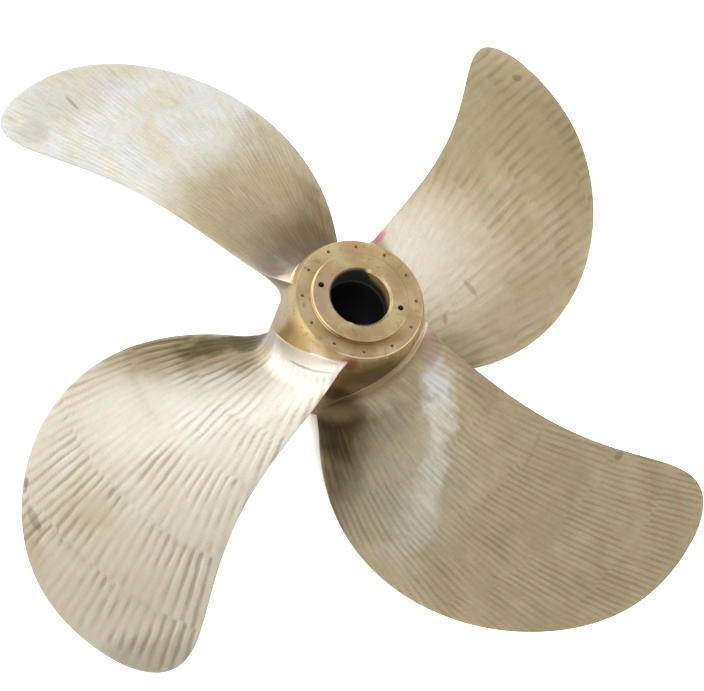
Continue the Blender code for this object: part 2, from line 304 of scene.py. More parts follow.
def bladePoints(angle):
    # every section at once: rows are radii, columns are places round the section
    plan = bladePlan
    inner = plan["innerFraction"]
    radius = bladeStations()[:, None]
    x, side = (row[None, :] for row in ringPlaces())
    fraction = radius / plan["radius"]
    u = loftPosition(fraction)
    chord = curveValue(plan["chords"], u)
    skew = np.radians(curveValue(plan["skews"], u))
    short = np.clip((plan["fullPitchFrom"] - fraction) / (plan["fullPitchFrom"] - inner), 0.0, None)
    lead = plan["pitch"] * (1.0 - plan["rootPitchLoss"] * short ** 2) / (2.0 * math.pi)
    slope = np.arctan(lead / radius)
    # the section
    thickness = plan["tipThickness"] + (plan["centreThickness"] - plan["tipThickness"]) * (1.0 - fraction)
    fade = np.clip(chord / plan["fullEdgeChord"], 0.0, 1.0)
    arch = (thickness - 2.0 * plan["edgeHalfThickness"]) * fade
    washLeft = np.clip(1.0 - (fraction - inner) / (plan["washUpEnd"] - inner), 0.0, None)
    wash = plan["washUp"] * thickness * washLeft ** 2
    rim = plan["edgeHalfThickness"] * fade * np.sqrt(np.clip(1.0 - x ** plan["rimPower"], 0.0, None))
    washPart = np.clip((-x - plan["washUpStart"]) / (1.0 - plan["washUpStart"]), 0.0, None)
    lift = wash * washPart ** 2
    top = plan["thickestPlace"]
    ahead = np.clip((top - x) / (1.0 + top), 0.0, None) ** plan["backPowers"][0]
    behind = np.clip((x - top) / (1.0 - top), 0.0, None) ** plan["backPowers"][1]
    back = -np.maximum(arch * (1.0 - ahead - behind), lift) - rim
    off = np.where(side < 0.0, back, rim - lift)
    # the root fillet
    along = x * chord / 2.0
    height = plan["planeHeight"] + lead * skew + along * np.sin(slope) + off * np.cos(slope)
    seat = hubPlan["length"] - hubPlan["spigotHeight"]
    out = np.clip(radius - hubRadiusAt(np.minimum(height, seat)), 0.0, None)
    part = np.clip(x + 1.0, 0.0, 1.0)
    low, full = plan["faceFillets"]
    fillet = np.where(side > 0.0, low + (full - low) * part ** 2 * (3.0 - 2.0 * part), plan["backFillet"])
    room = np.clip(height - plan["filletMargin"], 0.0, None)
    fillet = fillet * (1.0 - np.exp(-plan["filletRoomRate"] * room / fillet))
    arc = fillet - np.sqrt(fillet ** 2 - np.clip(fillet - out, 0.0, None) ** 2)
    edge = np.abs(x) ** np.where(side > 0.0, plan["edgePowers"][0], plan["edgePowers"][1])
    across = np.where(side > 0.0, arc, -arc * (1.0 - x ** 2)) * (1.0 - edge)
    # both edges sweep up the hub
    lift, curl, leading = (
        plan[word] * np.clip(1.0 - out / plan[word + "Reach"], 0.0, None) ** plan[word + "Power"]
        for word in ("trailingLift", "trailingCurl", "leadingLift"))
    along = along + np.where(x > 0.0, edge * (lift * np.sin(slope) + curl), 0.0)
    off = off + across + edge * np.where(x > 0.0, lift * np.cos(slope), leading)
    # wrapped on the cylinder of this radius, and levelled off just below the hub's aft face
    turn = angle + skew + (along * np.cos(slope) - off * np.sin(slope)) / radius
    height = plan["planeHeight"] + lead * skew + along * np.sin(slope) + off * np.cos(slope)
    below = (plan["ceiling"] - height) / plan["ceilingSoftness"]
    height = plan["ceiling"] - plan["ceilingSoftness"] * np.logaddexp(0.0, below)
    points = np.stack([radius * np.cos(turn), radius * np.sin(turn), height], -1)
    # place on the unrolled blade: along it from the blade's own middle line, its radius, and its side
    flat = along + skew * radius / np.cos(slope)
    place = np.stack([flat, np.broadcast_to(radius, flat.shape), np.broadcast_to(side, flat.shape)], -1)
    place[..., 2] *= np.abs(x) < 1.0 - 0.0005       # the edges are on neither side
    return points, place


def bladeMesh(name, angle):
    plan = bladePlan
    points, place = bladePoints(angle)
    rows, columns = points.shape[:2]
    skew = math.radians(plan["skews"][-1])
    tip = (plan["radius"] * math.cos(angle + skew), plan["radius"] * math.sin(angle + skew),
           plan["planeHeight"] + plan["pitch"] / (2.0 * math.pi) * skew)
    spots = np.vstack([points.reshape(-1, 3), [tip], [points[0].mean(0)]])
    places = np.vstack([place.reshape(-1, 3), [place[-1].mean(0)], [place[0].mean(0)]])
    tipIndex, rootIndex, last = rows * columns, rows * columns + 1, (rows - 1) * columns
    faces = []
    around = [(column, (column + 1) % columns) for column in range(columns)]
    for start in range(0, last, columns):
        faces += [(start + a, start + b, start + b + columns, start + a + columns) for a, b in around]
    for a, b in around:
        faces += [(last + a, last + b, tipIndex), (b, a, rootIndex)]
    mesh = solidMesh(name, spots.tolist(), faces)
    layer = mesh.attributes.new("place", "FLOAT_VECTOR", "POINT")
    layer.data.foreach_set("vector", places.astype(np.float32).ravel())
    mesh.shade_smooth()
    return mesh


# Grinding ripples: a disc grinder worked outwards in bands, each stroke a shallow furrow, the strokes
# fanned from the leading edge's direction to the trailing edge's
strokePlan = {
    "ends": (0.130, 0.750),         # radii where the first band begins and the last one ends
    "bandStep": 3.7,                # sets each band's random draws apart from the next one's
    "ledgeReach": 0.030,            # a ledge rises back over this
    "fanFrom": 0.27,                # radius where the fan is as "Fan start" and "Fan rate" say
    "leastFan": 0.15,
    "raggedLength": 0.018,
    "ledgeLength": 0.120,
    "waverLengths": (0.045, 0.080),  # along and in radius
    "unevenLength": 0.090,
    "singleLength": 0.150,
    "biteLength": 0.085,
    "fullFrom": (0.138, 0.165),     # the strokes start at the fillet's foot
    "fadeOut": (0.722, 0.742),      # and fade at the tip
}


def rippleTree():
    tree, given, add = newTree("grinding ripples", [(word, "Float") for word in bladeRipples])
    plan = strokePlan

    def unevenAt(x, y, z, detail=1.0):
        # smooth noise about nought
        return add("minus", add("noise", add("join", x, y, z), 1.0, detail), 0.5)

    def product(*shares):
        result = shares[0]
        for share in shares[1:]:
            result = add("times", result, share)
        return result

    along, radius, side = add("split", add("stored", "place")).node.outputs
    # where this stroke ends, a few millimetres short of or past the band's border
    ragged = unevenAt(add("over", along, plan["raggedLength"]), 0.0, given["Seed"])
    raggedRadius = add("timesPlus", ragged, given["Raggedness"], radius)
    borders = [given["Border %d" % (i + 1)] for i in range(4)]
    ends = plan["ends"][:1] + tuple(borders) + plan["ends"][1:]
    middles = [add("times", add("plus", ends[i], ends[i + 1]), 0.5) for i in range(len(ends) - 1)]
    band, middle, near, beyond = given["Seed"], middles[0], 1.0, 1.0
    for i, border in enumerate(borders):
        out = add("minus", raggedRadius, border)
        past = add("isAbove", out, 0.0)
        band = add("timesPlus", past, plan["bandStep"], band)
        middle = add("timesPlus", past, add("minus", middles[i + 1], middles[i]), middle)
        near = add("least", near, add("size", out))
        # distance outwards from the last border passed; one not yet passed is set far off
        beyond = add("least", beyond, add("timesPlus", add("isBelow", out, 0.0), 9.0, out))
    # in places each band is cut a little below the one inside it
    broken = add("eased", unevenAt(add("over", along, plan["ledgeLength"]), 0.0, band), -0.06, 0.08)
    ledge = add("times", add("eased", beyond, 0.0, plan["ledgeReach"], 1.0, 0.0), broken)
    # strokes are straight lines through one point per band, so their slope changes with the place along,
    # and from band to band
    outwards = add("minus", middle, plan["fanFrom"])
    lean = add("timesPlus", given["Fan growth"], outwards, given["Fan start"])
    fade = add("most", add("minus", 1.0, add("times", given["Fan fade"], outwards)), plan["leastFan"])
    fanReach = add("over", 1.0, add("times", given["Fan rate"], fade))
    fanAlong = add("timesPlus", lean, fanReach, along)
    fanRadius = add("plus", add("minus", radius, middle), fanReach)
    across = add("over", add("times", fanAlong, fanReach), fanRadius)
    waverAlong, waverOut = plan["waverLengths"]
    waver = unevenAt(add("over", along, waverAlong), add("over", radius, waverOut), band, 2.0)
    stroke = add("timesPlus", waver, given["Waver"], add("over", across, given["Pitch"]))
    furrow = add("sine", add("times", add("plus", stroke, band), 2.0 * math.pi))
    uneven = unevenAt(add("times", stroke, 0.8), add("over", radius, plan["unevenLength"]), band, 2.0)
    furrow = add("timesPlus", uneven, given["Unevenness"], furrow)
    # some strokes and some places bite deeper, all of them most where a band begins
    single = unevenAt(add("times", stroke, 1.1), add("over", radius, plan["singleLength"]),
                      add("plus", band, 5.0))
    bite = unevenAt(add("over", along, plan["biteLength"]), add("over", radius, plan["biteLength"]),
                    add("plus", given["Seed"], 9.0), 2.0)
    bites = [add("eased", bite, -0.16, 0.18, 0.12, 1.25), add("eased", single, -0.20, 0.20, 0.45, 1.25),
             add("eased", beyond, 0.010, 0.120, 1.25, 0.65)]
    # they ease off at a border, at the fillet and at the tip, and there is less of them on the back
    eases = [add("eased", near, 0.0, 0.003, 0.45, 1.0), add("eased", radius, *plan["fullFrom"]),
             add("eased", radius, *plan["fadeOut"], 1.0, 0.15)]
    onFace = add("eased", side, -1.0, 1.0, 0.45, 1.0)
    offSeam = add("eased", near, 0.006, 0.014)
    # one place is calm and one is bold
    places = []
    for word in ("Calm", "Bold"):
        middleSpot = add("join", given[word + " along"], given[word + " radius"], 0.0)
        far = add("length", add("unshift", add("join", along, radius, 0.0), middleSpot))
        size = given[word + " size"]
        places.append(add("eased", far, add("times", size, 0.4), size, given[word + " share"], 1.0))
    groove = product(furrow, *bites, *eases, *places, onFace)
    rise = add("minus", add("times", groove, given["Depth"]), product(ledge, given["Ledge"], onFace))
    strokes = add("join", add("times", stroke, given["Pitch"]), radius, band)
    shape = given["Shape"]
    for name, value in (("groove", groove), ("ledge", ledge), ("offSeam", offSeam)):
        shape = add("store", shape, name, value, data_type="FLOAT")
    shape = add("store", shape, "strokes", strokes, data_type="FLOAT_VECTOR")
    moved = add("move", shape, add("scaled", add("normal"), rise))
    return endTree(tree, moved, given["Finish"])


# Tones of the bronze: fresh from the disc, weathered, tarnished, and stained by the crack test's dye.
# Where zones and marks use them they also paint light: highlights in white, bright and peach, and
# shade in the dark tones at the blade roots
tones = {
    "white": "#e6e1d7",
    "bright": "#f6f0e6",
    "silver": "#dbdad9",
    "pale": "#dad7c9",
    "cream": "#d8cebb",
    "ivory": "#dad3c5",
    "sand": "#d3c7ad",
    "grey": "#b1aa96",
    "straw": "#c3b394",
    "tan": "#b9a987",
    "drab": "#ad9c7a",
    "olive": "#7f754f",
    "moss": "#6d6238",
    "stone": "#9b907a",
    "amber": "#b07a45",
    "umber": "#74603f",
    "brown": "#806747",
    "sootAndShade": "#3b3228",
    "dye": "#e07f9a",
    "peachHighlight": "#f3dcc4",
    "mauve": "#a5847c",
    "slate": "#8f8d84",
}


def groundBronze(name, plan):
    # nickel-aluminium bronze, ground by hand with a coarse disc: pale, bright and satin, with fine
    # scratches along the strokes, brown tarnish where the disc didn't reach and pink inspection dye;
    # its zones and marks also paint highlights and shade, and its furrows and ledges paint shade
    material, add = newMaterial(name)
    place = add("attribute", attribute_name="place", output="Vector")
    strokes = add("attribute", attribute_name="strokes", output="Vector")
    offSeam = add("attribute", attribute_name="offSeam")

    def stretched(spot, stretch, detail, output=0):
        return add("noise", add("stretch", spot, stretch), 1.0, detail, output=output)

    def alongStrokes(stretch, detail):
        # noise drawn out along the strokes, and level where one band of strokes meets the next
        return add("timesPlus", add("minus", stretched(strokes, stretch, detail), 0.5), offSeam, 0.5)

    def about(value, low, high, depth, rise=1.0, kind="ranged"):
        # noise turned to shares that lie round 1
        return add(kind, value, low, high, 1.0 - depth, 1.0 + rise * depth)

    # cloudy change of tone, 60 mm across
    cloud = add("eased", stretched(place, (16.0, 16.0, 16.0), 3.0), 0.35, 0.65)
    colour = add("mix", cloud, *(hexColour(tones[tone]) for tone in plan["base"]))
    # the zones' borders wander by 20 mm and are drawn out along the strokes
    warp = stretched(place, (26.0, 26.0, 26.0), 4.0, "Color")
    warp = add("scaled", add("unshift", warp, (0.5, 0.5, 0.5)), 0.07)
    streak = about(alongStrokes((150.0, 20.0, 1.0), 3.0), 0.32, 0.68, plan["streak"], 0.3, "eased")

    def spots(colour, rows, wander, outer, inner, streaked):
        for tone, along, radius, wide, high, turn, amount in rows:
            near = add("within", add("shift", place, add("scaled", warp, wander)), (along, radius, 1.0),
                       (wide, high, 1.6), (0.0, 0.0, math.radians(turn)))
            share = add("eased", add("length", near), outer, inner, 0.0, amount)
            if streaked:
                share = add("times", share, streak)
            colour = add("mix", share, colour, hexColour(tones[tone]))
        return colour

    colour = spots(colour, plan["zones"], 1.0, 1.20, 0.40, True)
    # the backs were ground alike
    side = add("split", place, output=2)
    colour = add("mix", add("eased", side, 0.1, -0.5, 0.0, 0.8), colour, hexColour(tones["sand"]))
    # the disc's patchy hold: mottles 12 mm across and 35 mm along the strokes, and specks of 4 mm
    mottle = add("times", alongStrokes((85.0, 28.0, 1.0), 2.0), 0.55)
    patchy = add("timesPlus", stretched(place, (230.0, 230.0, 40.0), 2.0), 0.45, mottle)
    colour = add("scaled", colour, about(patchy, 0.34, 0.66, plan["mottle"], 0.7))
    # a faint pink and green bloom
    bloom = add("eased", stretched(place, (45.0, 45.0, 45.0), 2.0), 0.35, 0.65)
    colour = add("tint", 1.0, colour, add("mix", bloom, hexColour("#fffbf9"), hexColour("#fcfff9")))
    # stains and dye lie in small sharp spots
    colour = spots(colour, plan["marks"], 0.08, 1.1, 0.6, False)
    # furrows hold a brown film, deepened into painted shade of the ripples;
    # the inner end of each band is darkened as painted shade of its ledge
    film = add("eased", add("attribute", attribute_name="groove"), 0.35, -0.95, 0.0, plan["furrowFilmAndShade"])
    colour = add("tint", film, colour, hexColour("#8a7350"))
    shade = add("ranged", add("attribute", attribute_name="ledge"), 0.0, 1.0, 0.0, plan["ledgeShade"])
    colour = add("tint", shade, colour, hexColour("#8a7350"))
    # tracks of a 1 mm grit, drawn 2 mm apart so that they show, 40 mm long, along the strokes
    scratch = add("times", alongStrokes((480.0, 24.0, 1.0), 2.0), 0.6)
    grain = add("timesPlus", stretched(place, (60.0, 330.0, 1.0), 3.0), 0.4, scratch)
    colour = add("scaled", colour, about(grain, 0.32, 0.68, plan["scratchContrast"], 0.6))
    return endMaterial(material, {
        "Base Color": colour, "Metallic": 1.0, "Roughness": add("eased", grain, 0.3, 0.7, 0.47, 0.38),
        "Normal": add("bump", grain, 0.25, 0.0005)})


# Finish of each blade. A zone or mark is (tone, along, radius, half width, half height, turn, amount)
# on the unrolled blade, in metres and degrees. Besides the metal's own tones, some zones and marks
# paint highlights and shade; each of those is noted where it stands.
bladeFinishes = {
    "blade_1": {
        "angle": 45.0, "base": ("tan", "straw"), "furrowFilmAndShade": 0.25, "ledgeShade": 0.08,
        "scratchContrast": 0.06, "mottle": 0.07, "streak": 0.15,
        "zones": (
            ("drab", 0.180, 0.650, 0.280, 0.120, 0.0, 1.00),
            ("drab", 0.230, 0.480, 0.100, 0.150, -20.0, 0.50),
            ("sand", 0.050, 0.300, 0.180, 0.130, 0.0, 0.85),
            ("cream", 0.070, 0.225, 0.160, 0.120, 0.0, 1.00),
            ("ivory", 0.110, 0.215, 0.090, 0.075, 0.0, 0.80),
            ("umber", 0.180, 0.715, 0.120, 0.040, 10.0, 0.22),
            ("olive", -0.165, 0.230, 0.060, 0.080, 25.0, 0.40),
        ),
        "marks": (
            ("sootAndShade", 0.320, 0.708, 0.012, 0.012, 0.0, 0.35),
            ("umber", -0.040, 0.302, 0.028, 0.006, -28.0, 0.35),
            ("umber", 0.068, 0.664, 0.010, 0.006, 0.0, 0.30),
            ("umber", -0.075, 0.232, 0.014, 0.006, 0.0, 0.35),
            ("dye", 0.151, 0.166, 0.010, 0.026, 0.0, 0.80),
        ),
    },
    "blade_2": {
        "angle": 135.0, "base": ("silver", "pale"), "furrowFilmAndShade": 0.15, "ledgeShade": 0.06,
        "scratchContrast": 0.10, "mottle": 0.09, "streak": 0.12,
        "zones": (
            ("tan", 0.020, 0.300, 0.330, 0.160, 0.0, 1.00),
            ("tan", -0.140, 0.420, 0.120, 0.130, 15.0, 0.80),
            ("tan", -0.130, 0.320, 0.090, 0.110, 0.0, 0.70),
            # umber and brown at the leading edge's root: tarnish and painted shade
            ("umber", -0.150, 0.280, 0.090, 0.080, 0.0, 0.35),
            ("brown", -0.085, 0.225, 0.120, 0.070, 0.0, 0.60),
            ("brown", 0.040, 0.215, 0.080, 0.050, 0.0, 0.20),
            ("slate", 0.150, 0.620, 0.320, 0.190, 0.0, 0.10),
            ("brown", 0.030, 0.175, 0.140, 0.045, 0.0, 0.25),
            ("brown", -0.170, 0.350, 0.030, 0.050, 0.0, 0.40),
            ("sand", 0.045, 0.605, 0.065, 0.034, 0.0, 0.50),
            ("sand", 0.130, 0.522, 0.045, 0.060, 0.0, 0.65),
            ("sand", 0.060, 0.680, 0.100, 0.026, 25.0, 0.50),
            ("grey", 0.220, 0.700, 0.200, 0.070, 0.0, 0.40),
            ("sand", 0.160, 0.720, 0.140, 0.030, 0.0, 0.35),
            ("brown", 0.115, 0.180, 0.055, 0.040, 0.0, 0.15),
            ("amber", -0.100, 0.195, 0.050, 0.040, 0.0, 0.15),
        ),
        "marks": (
            ("sootAndShade", 0.245, 0.672, 0.005, 0.024, -8.0, 0.35),
            ("grey", 0.362, 0.672, 0.040, 0.026, 30.0, 0.45),
            ("amber", -0.130, 0.528, 0.012, 0.018, -30.0, 0.25),
            ("amber", -0.170, 0.305, 0.006, 0.050, 18.0, 0.40),
            ("mauve", 0.120, 0.160, 0.040, 0.018, 0.0, 0.70),
            # peach paints a highlight along the fillet at the root
            ("peachHighlight", 0.148, 0.135, 0.018, 0.018, 0.0, 1.00),
        ),
    },
    "blade_3": {
        "angle": 225.0, "base": ("ivory", "cream"), "furrowFilmAndShade": 0.44, "ledgeShade": 0.12,
        "scratchContrast": 0.06, "mottle": 0.05, "streak": 0.15,
        "zones": (
            ("sand", 0.200, 0.650, 0.260, 0.130, 0.0, 0.65),
            # white and bright: paler fresh-ground metal and painted highlight; ivory: painted shade of the
            # stripes
            ("white", -0.040, 0.400, 0.120, 0.130, 0.0, 0.60),
            ("white", 0.020, 0.240, 0.140, 0.170, 0.0, 1.00),
            ("ivory", 0.150, 0.340, 0.085, 0.130, 0.0, 0.90),
            ("bright", 0.070, 0.150, 0.150, 0.070, 0.0, 1.00),
            # tan and moss at the leading edge's root: tarnish and painted shade
            ("tan", -0.150, 0.300, 0.072, 0.200, 29.0, 0.95),
            ("tan", -0.060, 0.180, 0.060, 0.050, 10.0, 0.90),
            ("moss", -0.140, 0.225, 0.040, 0.100, 14.0, 1.00),
            ("moss", -0.128, 0.165, 0.045, 0.045, 0.0, 0.90),
            ("tan", 0.085, 0.590, 0.046, 0.066, 0.0, 0.40),
            ("olive", 0.380, 0.720, 0.080, 0.050, -30.0, 0.35),
            ("tan", 0.060, 0.700, 0.090, 0.030, 14.0, 0.60),
        ),
        "marks": (
            ("sootAndShade", 0.050, 0.668, 0.030, 0.008, 12.0, 0.35),
            ("sootAndShade", -0.020, 0.645, 0.012, 0.005, 30.0, 0.50),
            ("slate", 0.095, 0.143, 0.066, 0.0018, 2.0, 0.60),
            ("dye", 0.152, 0.148, 0.005, 0.018, 0.0, 0.25),
            ("dye", 0.150, 0.128, 0.014, 0.006, 0.0, 0.22),
        ),
    },
    "blade_4": {
        "angle": 315.0, "base": ("tan", "straw"), "furrowFilmAndShade": 0.30, "ledgeShade": 0.06,
        "scratchContrast": 0.10, "mottle": 0.08, "streak": 0.55,
        "zones": (
            ("grey", -0.080, 0.300, 0.150, 0.160, 0.0, 0.80),
            ("stone", 0.000, 0.190, 0.130, 0.055, 0.0, 0.70),
            ("pale", -0.160, 0.450, 0.050, 0.060, 0.0, 0.20),
            ("sand", 0.230, 0.575, 0.130, 0.050, 0.0, 0.30),
            ("drab", 0.030, 0.480, 0.240, 0.080, 0.0, 0.40),
            ("pale", -0.080, 0.385, 0.110, 0.040, -42.0, 0.50),
            ("pale", 0.000, 0.305, 0.110, 0.028, -46.0, 0.65),
            ("pale", 0.075, 0.240, 0.095, 0.030, -50.0, 0.85),
            ("silver", 0.095, 0.205, 0.036, 0.040, 0.0, 0.70),
            # moss and umber at the leading edge's root: tarnish and painted shade
            ("moss", -0.150, 0.245, 0.036, 0.080, 24.0, 0.45),
            ("umber", -0.125, 0.185, 0.050, 0.060, 0.0, 0.50),
            ("mauve", 0.162, 0.265, 0.026, 0.060, 0.0, 0.40),
        ),
        "marks": (
            ("umber", 0.312, 0.558, 0.014, 0.006, 20.0, 0.40),
            ("umber", 0.170, 0.418, 0.045, 0.005, -10.0, 0.15),
            # umber and soot at the leading edge's root: painted shade, partly tarnish
            ("umber", -0.100, 0.150, 0.066, 0.030, 0.0, 0.85),
            ("sootAndShade", -0.100, 0.155, 0.072, 0.040, 0.0, 0.35),
            ("sootAndShade", -0.145, 0.180, 0.050, 0.062, 5.0, 0.45),
            ("sootAndShade", -0.150, 0.176, 0.030, 0.042, 5.0, 0.50),
            ("mauve", 0.132, 0.158, 0.036, 0.028, 0.0, 0.60),
            # peach paints the highlight along the fillet's crest, and moss the shade beside it at the hub
            ("peachHighlight", 0.110, 0.1335, 0.070, 0.0042, 0.0, 1.00),
            ("peachHighlight", 0.020, 0.1320, 0.080, 0.0035, 0.0, 0.45),
            ("moss", -0.085, 0.1330, 0.070, 0.0060, 0.0, 0.50),
        ),
    },
}

# Ripples of blade_1 to blade_4, in that order: lengths in metres, the rest are shares and rates
bladeRipples = {
    "Pitch": (0.0215, 0.0110, 0.0180, 0.0118),
    "Depth": (0.00020, 0.00006, 0.00038, 0.00010),
    "Fan start": (0.28, 0.12, 0.22, 0.14),
    "Fan rate": (2.0, 2.2, 2.2, 2.1),
    "Fan growth": (-0.35, -0.1, 0.15, 0.9),
    "Fan fade": (2.4, 0.8, 1.15, 1.6),
    "Waver": (0.5, 1.4, 0.7, 0.6),
    "Seed": (3.1, 5.2, 7.4, 1.6),
    "Unevenness": (1.6, 2.6, 1.8, 2.0),
    "Raggedness": (0.030, 0.040, 0.016, 0.020),
    "Ledge": (0.0002, 0.0002, 0.0005, 0.0003),
    "Border 1": (0.250, 0.290, 0.285, 0.300),
    "Border 2": (0.390, 0.380, 0.390, 0.410),
    "Border 3": (0.520, 0.470, 0.532, 0.545),
    "Border 4": (0.650, 0.570, 0.650, 0.660),
    "Calm along": (0.090, 0.060, -0.070, -0.020),
    "Calm radius": (0.250, 0.500, 0.400, 0.230),
    "Calm size": (0.170, 0.160, 0.140, 0.120),
    "Calm share": (0.12, 0.25, 0.10, 0.25),
    "Bold along": (0.060, -0.100, -0.110, 0.300),
    "Bold radius": (0.560, 0.420, 0.240, 0.700),
    "Bold size": (0.200, 0.120, 0.190, 0.200),
    "Bold share": (1.2, 1.5, 2.4, 1.6),
}

ripples = rippleTree()
for number, (name, plan) in enumerate(bladeFinishes.items()):
    blade = newObject("ground_" + name, bladeMesh("ground_" + name, math.radians(plan["angle"])))
    finish = groundBronze("hand-ground bronze, " + name.replace("_", " "), plan)
    sizes = {word: row[number] for word, row in bladeRipples.items()}
    useTree(blade, ripples, dict(sizes, Finish=finish))
    bakeModifiers(blade)
    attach(blade, "root")
    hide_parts(name)
    print(blade.name, "made,", len(blade.data.polygons), "faces")


# Hub: turned from its profile, then drilled
def hubProfile():
    # points (radius, height) down the outside and back up through the bore
    plan = hubPlan
    top, seat = plan["length"], plan["length"] - plan["spigotHeight"]

    def boreAt(height):
        return plan["boreRadius"] + (top - height) * plan["boreTaper"]

    points = [(boreAt(top) + plan["boreChamfer"], top), (plan["spigotRadius"] - plan["spigotChamfer"], top),
              (plan["spigotRadius"], top - plan["spigotChamfer"]),
              (plan["spigotRadius"], seat + plan["foot"]), (plan["spigotRadius"] + plan["foot"], seat)]
    low, steps = plan["edgeRound"], plan["shoulderSteps"]
    turns = [0.5 * math.pi * step / plan["edgeSteps"] for step in range(plan["edgeSteps"] + 1)]
    corner = plan["aftFaceRadius"] - low
    points += [(corner + low * math.sin(turn), seat - low * (1.0 - math.cos(turn))) for turn in turns]
    heights = [seat - low - (plan["aftShoulder"] - low) * (i + 1) / steps for i in range(steps)]
    barrel = np.linspace(seat - plan["aftShoulder"], plan["forwardShoulder"], plan["barrelSteps"])
    heights += list(barrel[1:-1])
    heights += [plan["forwardShoulder"] - (plan["forwardShoulder"] - low) * i / steps for i in range(steps)]
    points += [(float(hubRadiusAt(height)), height) for height in heights]
    corner = plan["forwardFaceRadius"] - low
    points += [(corner + low * math.sin(turn), low * (1.0 - math.cos(turn))) for turn in reversed(turns)]
    chamberTop, chamberLow = top - plan["land"], plan["land"]
    points += [(boreAt(0.0) + plan["boreChamfer"], 0.0), (boreAt(plan["boreChamfer"]), plan["boreChamfer"]),
               (boreAt(chamberLow), chamberLow),
               (boreAt(chamberLow) + plan["relief"], chamberLow + plan["relief"]),
               (boreAt(chamberTop) + plan["relief"], chamberTop - plan["relief"]),
               (boreAt(chamberTop), chamberTop),
               (boreAt(top - plan["boreChamfer"]), top - plan["boreChamfer"])]
    return points


def turnedMesh(name, profile, sides, closed=True):
    angles = 2.0 * math.pi * np.arange(sides) / sides
    spots = [(r * math.cos(a), r * math.sin(a), z) for a in angles for r, z in profile]
    count = len(profile)
    faces = []
    for side in range(sides):
        here, there = side * count, ((side + 1) % sides) * count
        for i in range(count if closed else count - 1):
            j = (i + 1) % count
            faces.append((here + i, here + j, there + j, there + i))
    return solidMesh(name, spots, faces, 0.000004)


drillPlan = {
    "sides": 24,
    "over": 0.001,                  # the drill stands this far out of the hole
    "leastShoulder": 0.0002,
    "pointShare": 0.55,             # length of the drill's point over its radius
    "leadTurns": 2.0,               # the thread starts this many turns below the mouth
    "spareTurns": 4.0,
    "sharpFrom": 40.0,
}

holePlans = {
    "jacking": {"count": 2, "circle": 0.075, "first": 0.0, "top": 0.285, "radius": 0.0051, "depth": 0.028,
                "mouth": 0.0054, "threadPitch": 0.00175, "threadDepth": 0.0006,
                "film": ("#17120c", "#2c2216")},
    "cap": {"count": 12, "circle": 0.106, "first": 15.0, "top": 0.278, "radius": 0.0034, "depth": 0.018,
            "mouth": 0.0034, "threadPitch": 0.00125, "threadDepth": 0.0004,
            "film": ("#6c5c3a", "#8b774c")},
}


def drillMesh(name, plan):
    # one drill: a countersunk mouth, a straight flank and the drill's own point
    radius, mouth = plan["radius"] + plan["threadDepth"], plan["mouth"]
    over = drillPlan["over"]
    shoulder = max(mouth - radius, drillPlan["leastShoulder"])
    point = plan["depth"] + radius * drillPlan["pointShare"]
    profile = [(0.0, over), (mouth, over), (mouth, 0.0), (radius, -shoulder), (radius, -plan["depth"]),
               (0.0, -point)]
    return turnedMesh(name, profile, drillPlan["sides"], closed=False)


def threadTree():
    # a thread's ridge, wound down a hole's wall
    tree, given, add = newTree("thread turns", [("Radius", "Float"), ("Height", "Float"), ("Turns", "Float"),
                                                ("Ridge", "Float")])
    height = add("times", given["Height"], -1.0)
    spiral = add("spiral", 20, given["Turns"], given["Radius"], given["Radius"], height)
    thread = add("sweep", spiral, add("ring", 4, given["Ridge"]), True)
    return endTree(tree, thread, given["Finish"])


def patternTree():
    # the same thing set at equal steps round a circle
    tree, given, add = newTree("holes on a circle", [("Count", "Int"), ("Circle", "Float"),
                                                     ("First", "Float"), ("Height", "Float")])
    share = add("over", add("index"), given["Count"])
    turn = add("timesPlus", share, 2.0 * math.pi, given["First"])
    x = add("times", add("cosine", turn), given["Circle"])
    y = add("times", add("sine", turn), given["Circle"])
    points = add("points", given["Count"], add("join", x, y, given["Height"]))
    spread = add("repeat", points, given["Shape"], add("join", 0.0, 0.0, turn))
    return endTree(tree, spread, given["Finish"])


# Patches on the hub: colour, place, half sizes, amount. Most are the metal's own tones and stains; the
# painted highlights and painted shade among them are noted
hubStainsAndPaintedLight = (
    ("#b49a83", (-0.066, -0.020, 0.285), (0.020, 0.050, 0.010), 0.70),
    ("#cdbd8e", (0.070, -0.020, 0.285), (0.022, 0.036, 0.004), 0.70),
    ("#bd9465", (-0.030, 0.101, 0.278), (0.050, 0.014, 0.010), 0.60),
    ("#c39a80", (-0.012, 0.094, 0.278), (0.020, 0.008, 0.010), 0.60),
    ("#a9a57a", (0.000, 0.092, 0.278), (0.010, 0.006, 0.010), 0.60),
    ("#ab9067", (0.063, 0.078, 0.278), (0.045, 0.045, 0.020), 0.60),
    # the two pale patches low on the near-left side are painted highlights
    ("#dcbd88", (-0.078, -0.103, 0.250), (0.050, 0.050, 0.040), 0.60),
    ("#f2e0c2", (-0.052, -0.118, 0.250), (0.028, 0.028, 0.022), 0.60),
    ("#d9cab4", (-0.126, -0.034, 0.220), (0.030, 0.040, 0.060), 0.55),
    # the dark olive patch low on the near-right side is painted shade
    ("#5f5232", (0.070, -0.110, 0.225), (0.075, 0.070, 0.060), 0.80),
    ("#a5744a", (0.010, -0.128, 0.190), (0.022, 0.020, 0.045), 0.60),
    ("#614838", (0.006, -0.128, 0.140), (0.045, 0.030, 0.035), 0.80),
    ("#955846", (0.012, -0.129, 0.262), (0.017, 0.030, 0.024), 0.80),
    ("#a3875c", (-0.012, -0.080, 0.285), (0.045, 0.016, 0.006), 0.65),
    ("#ae9465", (-0.015, 0.070, 0.285), (0.040, 0.018, 0.006), 0.55),
    # a painted highlight on the seat, widening the rim's highlight
    ("#e3c79c", (0.070, -0.092, 0.278), (0.036, 0.026, 0.006), 0.60),
)


